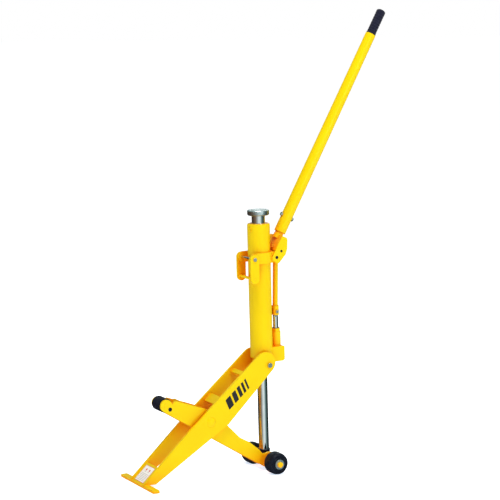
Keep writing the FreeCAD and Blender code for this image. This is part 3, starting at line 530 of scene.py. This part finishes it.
# %% Grip
handle_lean = math.radians(28.2)
handle_foot_back = 89.5
handle_foot_height = 488.5
handle_axis = Vector((math.sin(handle_lean), 0, math.cos(handle_lean)))
handle_foot = on_unit(handle_foot_back, handle_foot_height, 0)
grip_length = 103.0
handle_length = 936.0
grip_radius = 17.6
grip_low = handle_length - grip_length
grip_profile = [(0, grip_low - 48), (16.5, grip_low - 48), (16.5, grip_low), (grip_radius + 0.9, grip_low),
                (grip_radius + 0.9, grip_low + 5), (grip_radius, grip_low + 6.5)]
finger_rings = 7
ring_pitch = 10.5
for k in range(finger_rings):
    at = grip_low + 16 + k * ring_pitch
    grip_profile += [(grip_radius, at), (grip_radius - 0.7, at + 1.2), (grip_radius - 0.7, at + 3.2),
                     (grip_radius, at + 4.4)]
grip_profile += [(grip_radius, handle_length - 7), (grip_radius - 2.2, handle_length - 3),
                 (grip_radius - 6.5, handle_length - 0.6), (0, handle_length)]
grip_mesh = turned_mesh("handle_grip_moulded", grip_profile, handle_foot, handle_axis, 2.0)
add_piece("handle_grip_moulded", grip_mesh, [grip_rubber], "pump_lever", ["handle_grip"])


# %% [markdown]
# ## Welds
# The arms are fabricated: plates are joined by fillet welds, left as they were laid and painted over. A weld
# is a row of overlapping scales. The bead here is a tube along the corner whose width swells and falls with
# each scale, so half of it sinks into the two plates and the rest shows as a rippled fillet.

# %% Weld bead
def bead_mesh(name, paths, radius, closed=False):
    """Rippled beads along lists of points; radius in millimetres."""
    around = 10
    scale_pitch = 3.4 * mm
    step = 0.85 * mm
    bm = bmesh.new()
    for path in paths:
        corners = path + [path[0]] if closed else path
        centres = []
        for a, b in zip(corners, corners[1:]):
            count = max(1, round((b - a).length / step))
            centres += [a.lerp(b, k / count) for k in range(count)]
        if not closed:
            centres.append(corners[-1])
        rings = []
        travelled = 0.0
        for i, centre in enumerate(centres):
            ahead = centres[(i + 1) % len(centres)] if closed or i + 1 < len(centres) else centre
            behind = centres[i - 1] if closed or i > 0 else centre
            direction = (ahead - behind).normalized()
            travelled += (centre - centres[i - 1]).length if i else 0.0
            phase = (travelled / scale_pitch) % 1.0
            size = radius * mm * (0.86 + 0.20 * (1 - phase) ** 0.7)
            if not closed:
                end_gap = min(i, len(centres) - 1 - i) * step / (radius * mm)
                size *= min(1.0, 0.35 + end_gap) if end_gap < 0.65 else 1.0
            side = direction.cross(Vector((0.31, 0.83, 0.47))).normalized()
            other = direction.cross(side)
            ring = []
            for k in range(around):
                a = 2 * math.pi * k / around
                ring.append(bm.verts.new(centre + (side * math.cos(a) + other * math.sin(a)) * size))
            rings.append(ring)
        pairs = list(zip(rings, rings[1:])) + ([(rings[-1], rings[0])] if closed else [])
        for here, there in pairs:
            for k in range(around):
                j = (k + 1) % around
                bm.faces.new((here[k], here[j], there[j], there[k]))
        if not closed:
            bm.faces.new(rings[0])
            bm.faces.new(rings[-1])
    bmesh.ops.recalc_face_normals(bm, faces=bm.faces)
    mesh = bpy.data.meshes.new(name)
    bm.to_mesh(mesh)
    bm.free()
    shade(mesh, 50)
    return mesh


def circle(centre, axis, radius, count=72):
    """Points of a circle round an axis; radius in millimetres."""
    side = axis.orthogonal().normalized() * radius * mm
    return [centre + Matrix.Rotation(2 * math.pi * k / count, 3, axis) @ side for k in range(count)]


def add_weld(name, paths, radius, body, closed=False):
    """A named set of beads on one body, painted like the rest."""
    mesh = bead_mesh(name, paths, radius, closed)
    return add_piece(name, mesh, [yellow_enamel], body)


# %% Welds of the base arm
across = Vector((0, 1, 0))
plate_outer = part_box("base_arm_plate_far")[1].y / mm
plate_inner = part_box("base_arm_plate_far")[0].y / mm
foot_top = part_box("foot_plate")[1].z
foot_front, foot_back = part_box("foot_plate")[0].x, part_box("foot_plate")[1].x
nose_reach = 27.0
nose_height = 2.0
bend_along, bend_rise = -74.0, 40.4
nose = Vector((foot_back - nose_reach * mm, 0, foot_top + nose_height * mm))
nose_along = (on_base(bend_along, bend_rise, 0) - nose).normalized()
nose_up = Vector((-nose_along.z, 0, nose_along.x))
gusset_length = 86.0
gusset_sink = 4.0
brace_rise = 28.4


def on_nose(along, sink, y):
    """Point under the arm's upper edge near the foot, in millimetres from its tip."""
    return nose + nose_along * along * mm - nose_up * sink * mm + Vector((0, y * mm, 0))


add_weld("weld_foot_sides", [[Vector((foot_front + 0.004, s * plate_outer * mm, foot_top)),
                              Vector((foot_back - 0.001, s * plate_outer * mm, foot_top))] for s in (-1, 1)],
         3.2, "base_arm")
add_weld("weld_gusset_sides", [[on_nose(8, gusset_sink, s * plate_inner),
                                on_nose(gusset_length - 2, gusset_sink, s * plate_inner)] for s in (-1, 1)],
         2.6, "base_arm")
brace_spans = ((60, 95), (209, 225))
add_weld("weld_braces", [[on_base(along, brace_rise, s * plate_inner) for along in span]
                         for span in brace_spans for s in (-1, 1)], 2.4, "base_arm")
ring_radius = (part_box("trunnion_bosses")[1].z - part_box("trunnion_bosses")[0].z) / 2 / mm
add_weld("weld_trunnion_rings", [circle(trunnion + across * s * plate_outer * mm, across, ring_radius)
                                 for s in (-1, 1)], 1.1, "base_arm", True)

# %% Welds of the lift arm
lift_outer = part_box("lift_arm_plate_far")[1].y / mm
lift_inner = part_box("lift_arm_plate_far")[0].y / mm
toe_web_ends = ((-131.0, -50), (-131.0, 4))
rear_web_ends = ((194.0, -26), (226.0, -24))
for name, ends in (("weld_toe_web", toe_web_ends), ("weld_rear_web", rear_web_ends)):
    add_weld(name, [[on_lift(along, rise, s * lift_inner) for along, rise in ends] for s in (-1, 1)],
             2.2, "lift_arm")
spacer_radius = (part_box("axle_spacers")[1].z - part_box("axle_spacers")[0].z) / 2 / mm
add_weld("weld_axle_spacers", [circle(axle + across * s * lift_outer * mm, across, spacer_radius)
                               for s in (-1, 1)], 1.7, "lift_arm", True)

# %% Welds of the jack unit, the bail and the lever
lug_faces = ((40.2, 29.4), (24.0, 43.6))
lug_low, lug_high = 385.0, 420.0
add_weld("weld_fulcrum_ears", [[on_unit(back, lug_low, s * y), on_unit(back, lug_high, s * y)]
                               for y, back in lug_faces for s in (-1, 1)], 2.0, "jack_unit")
bail_bar = (-52.0, 329.5)
bail_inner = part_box("carry_link_far")[0].y / mm
add_weld("weld_bail_bar", [circle(on_unit(*bail_bar, s * bail_inner), across, 5.5) for s in (-1, 1)],
         1.3, "carry_handle", True)

# %% [markdown]
# ## Marks and label
# The near plate carries a plain mark of slanted bars, and the gusset a small care label. Both are thin film
# with real thickness, so they catch a faint edge. The bars get narrower up the arm, which gives the mark a
# direction without any lettering. The label has only plain shapes.

# %% Flat film pieces
def film_mesh(name, shapes, origin, along, rise, out, thickness):
    """Thin raised shapes on a plane; each shape is (corners in millimetres, material index, layer)."""
    bm = bmesh.new()
    for corners, index, layer in shapes:
        foot = out * layer * thickness
        top = foot + out * thickness
        low = [bm.verts.new(origin + along * x * mm + rise * z * mm + foot) for x, z in corners]
        high = [bm.verts.new(origin + along * x * mm + rise * z * mm + top) for x, z in corners]
        faces = [bm.faces.new(low), bm.faces.new(high)]
        for i in range(len(corners)):
            j = (i + 1) % len(corners)
            faces.append(bm.faces.new((low[i], low[j], high[j], high[i])))
        for face in faces:
            face.material_index = index
    bmesh.ops.recalc_face_normals(bm, faces=bm.faces)
    mesh = bpy.data.meshes.new(name)
    bm.to_mesh(mesh)
    bm.free()
    return mesh


def rectangle(x0, x1, z0, z1):
    """Corners of an upright rectangle."""
    return [(x0, z0), (x1, z0), (x1, z1), (x0, z1)]


def disc(x, z, radius, count=24):
    """Corners of a round spot."""
    return [(x + radius * math.cos(2 * math.pi * k / count), z + radius * math.sin(2 * math.pi * k / count))
            for k in range(count)]


# %% Slanted bars on the near plate
bars_start = 82.0
bar_height = 39.0
bar_slant = 12.0
bars_low = -21.0
bar_widths = (26.0, 20.0, 15.0, 11.0, 8.0)
bar_gap = 8.0
bars = []
at = 0.0
for width in bar_widths:
    bottom = [(at, 0), (at + width, 0)]
    top = [(at + width + bar_slant, bar_height), (at + bar_slant, bar_height)]
    bars.append((bottom + top, 0, 0))
    at += width + bar_gap
bars_mesh = film_mesh("side_bars", bars, on_base(bars_start, bars_low, -plate_outer), base_along, base_up,
                      -across, 0.00025)
add_piece("side_bars", bars_mesh, [black_vinyl], "base_arm")
print("bars run", round(at - bar_gap + bar_slant), "mm along the arm")

# %% Care label on the gusset
label_length = 70.0
label_half = 37.0
border = 1.6
label_start = 7.0
label_shapes = [(rectangle(0, label_length, -label_half, label_half), 1, 0),
                (rectangle(border, label_length - border, -label_half + border, label_half - border), 0, 1)]
for y in (-14, 12):
    label_shapes.append((disc(label_length - 17, y, 4.6), 1, 2))
    label_shapes.append((rectangle(label_length - 26, label_length - 24, y - 6, y + 6), 2, 2))
for row in range(6):
    line = rectangle(7 + row * 5.5, 8.6 + row * 5.5, -label_half + 7, label_half - 7 - 6 * (row % 2))
    label_shapes.append((line, 2, 2))
label_mesh = film_mesh("care_label", label_shapes, on_nose(label_start, gusset_sink, 0), nose_along, across,
                       nose_up, 0.00015)
add_piece("care_label", label_mesh, [white_vinyl, red_vinyl, grey_vinyl], "base_arm")

# %% [markdown]
# ## Studio
# The floor and the surroundings are white. A large soft light stands to the right of the camera, a weak one
# to the left and one behind, and a strong one hangs high above for the faces that look up. The sky's soft
# light is warm, so that shaded paint turns golden and not grey, and the floor glows a little blue to stay
# white under it. Chrome needs dark things to mirror, so reflections alone see the world in grey bands.

# %% Floor
floor_mesh = bpy.data.meshes.new("floor")
floor_half = 80.0
floor_mesh.from_pydata([(-floor_half, -floor_half, 0), (floor_half, -floor_half, 0),
                        (floor_half, floor_half, 0), (-floor_half, floor_half, 0)], [], [(0, 1, 2, 3)])
floor = bpy.data.objects.new("floor", floor_mesh)
bpy.context.scene.collection.objects.link(floor)
floor_paint, floor_tree, floor_shader = start_material("pale_floor")
floor_cloud = noise(floor_tree, object_coords(floor_tree), 1.5, 3.0)
floor_tone = blend_colours(floor_tree, floor_cloud, (0.93, 0.93, 0.93), (0.96, 0.96, 0.96))
floor_tree.links.new(floor_tone, floor_shader.inputs["Base Color"])
floor_shader.inputs["Roughness"].default_value = 0.9
floor_shader.inputs["Emission Color"].default_value = (0.60, 0.70, 0.84, 1)
floor_shader.inputs["Emission Strength"].default_value = 1.0
floor.visible_glossy = False
floor_mesh.materials.append(floor_paint)

# %% Camera
camera_place = Vector((-2.7563, -5.9948, 1.7383))
camera_heading = Vector((0.4677, 0.8741, -0.1310))
camera_data = bpy.data.cameras.new("camera")
camera_data.sensor_width = 36.0
camera_data.lens = 132.6
camera = bpy.data.objects.new("camera", camera_data)
camera.location = camera_place
camera.rotation_euler = camera_heading.to_track_quat("-Z", "Y").to_euler()
bpy.context.scene.collection.objects.link(camera)
bpy.context.scene.camera = camera

# %% World
# What polished metal mirrors, by direction round the room: 0 and 1 lie beyond the jack, 0.5 on this side.
room_tones = [(0.0, (0.02, 0.03, 0.03)), (0.25, (0.10, 0.06, 0.04)), (0.38, (0.26, 0.17, 0.12)),
              (0.46, (0.50, 0.52, 0.52)), (0.51, (0.95, 1.0, 1.0)), (0.60, (0.85, 0.95, 0.95)),
              (0.65, (0.22, 0.34, 0.34)), (0.74, (0.04, 0.06, 0.06)), (1.0, (0.02, 0.03, 0.03))]
world = bpy.data.worlds.new("studio")
bpy.context.scene.world = world
world.use_nodes = True
sky = world.node_tree
sky.nodes.clear()


def sky_math(operation, first, second=0.0):
    """One step of arithmetic on directions; each input is a number or another node's output."""
    step = sky.nodes.new("ShaderNodeMath")
    step.operation = operation
    for socket, value in zip(step.inputs, (first, second)):
        if isinstance(value, (int, float)):
            socket.default_value = value
        else:
            sky.links.new(value, socket)
    return step.outputs[0]


def sky_along(direction, coords):
    """How far a direction points along another."""
    dot = sky.nodes.new("ShaderNodeVectorMath")
    dot.operation = "DOT_PRODUCT"
    dot.inputs[1].default_value = direction
    sky.links.new(coords, dot.inputs[0])
    return dot.outputs["Value"]


front = Vector((-camera_heading.x, -camera_heading.y, 0)).normalized()
right = Vector((-front.y, front.x, 0))
sky_coords = sky.nodes.new("ShaderNodeTexCoord").outputs["Generated"]
angle = sky_math("ARCTAN2", sky_along(right, sky_coords), sky_along(front, sky_coords))
around_room = sky_math("ADD", sky_math("DIVIDE", angle, 2 * math.pi), 0.5)
tones = sky.nodes.new("ShaderNodeValToRGB")
while len(tones.color_ramp.elements) < len(room_tones):
    tones.color_ramp.elements.new(0.5)
for element, (place, colour) in zip(tones.color_ramp.elements, room_tones):
    element.position = place
    element.color = (*colour, 1)
sky.links.new(around_room, tones.inputs[0])
height = remap(sky, sky_along(Vector((0, 0, 1)), sky_coords), 0.0, 0.5, 0, 1)
mirrored = blend_colours(sky, height, tones.outputs[0], (0.30, 0.41, 0.40))
rays = sky.nodes.new("ShaderNodeLightPath")
backgrounds = []
for colour, strength in (((1.0, 0.80, 0.50, 1), 0.46), (mirrored, 0.9), ((1.0, 1.0, 1.0, 1), 1.0)):
    ground = sky.nodes.new("ShaderNodeBackground")
    if isinstance(colour, tuple):
        ground.inputs["Color"].default_value = colour
    else:
        sky.links.new(colour, ground.inputs["Color"])
    ground.inputs["Strength"].default_value = strength
    backgrounds.append(ground.outputs[0])
sky_shader = backgrounds[0]
for ray, ground in (("Is Glossy Ray", backgrounds[1]), ("Is Camera Ray", backgrounds[2])):
    choose = sky.nodes.new("ShaderNodeMixShader")
    sky.links.new(rays.outputs[ray], choose.inputs[0])
    sky.links.new(sky_shader, choose.inputs[1])
    sky.links.new(ground, choose.inputs[2])
    sky_shader = choose.outputs[0]
sky_out = sky.nodes.new("ShaderNodeOutputWorld")
sky.links.new(sky_shader, sky_out.inputs["Surface"])

# %% Lights
def soft_light(name, place, target, size, watts):
    """Square area light that looks at a point."""
    data = bpy.data.lights.new(name, "AREA")
    data.size = size
    data.energy = watts
    lamp = bpy.data.objects.new(name, data)
    lamp.location = place
    lamp.rotation_euler = (target - Vector(place)).to_track_quat("-Z", "Y").to_euler()
    bpy.context.scene.collection.objects.link(lamp)
    return lamp


middle = Vector((0.45, 0, 0.7))
for name, place, size, watts in (("key", (1.6, -4.0, 2.2), 1.8, 56), ("fill", (-3.4, -2.0, 2.4), 2.0, 9),
                                 ("top", (-0.4, -1.6, 7.0), 3.0, 330), ("back", (2.6, 2.6, 2.6), 1.6, 18)):
    soft_light(name, place, middle, size, watts)
bpy.context.scene.view_settings.view_transform = "Standard"
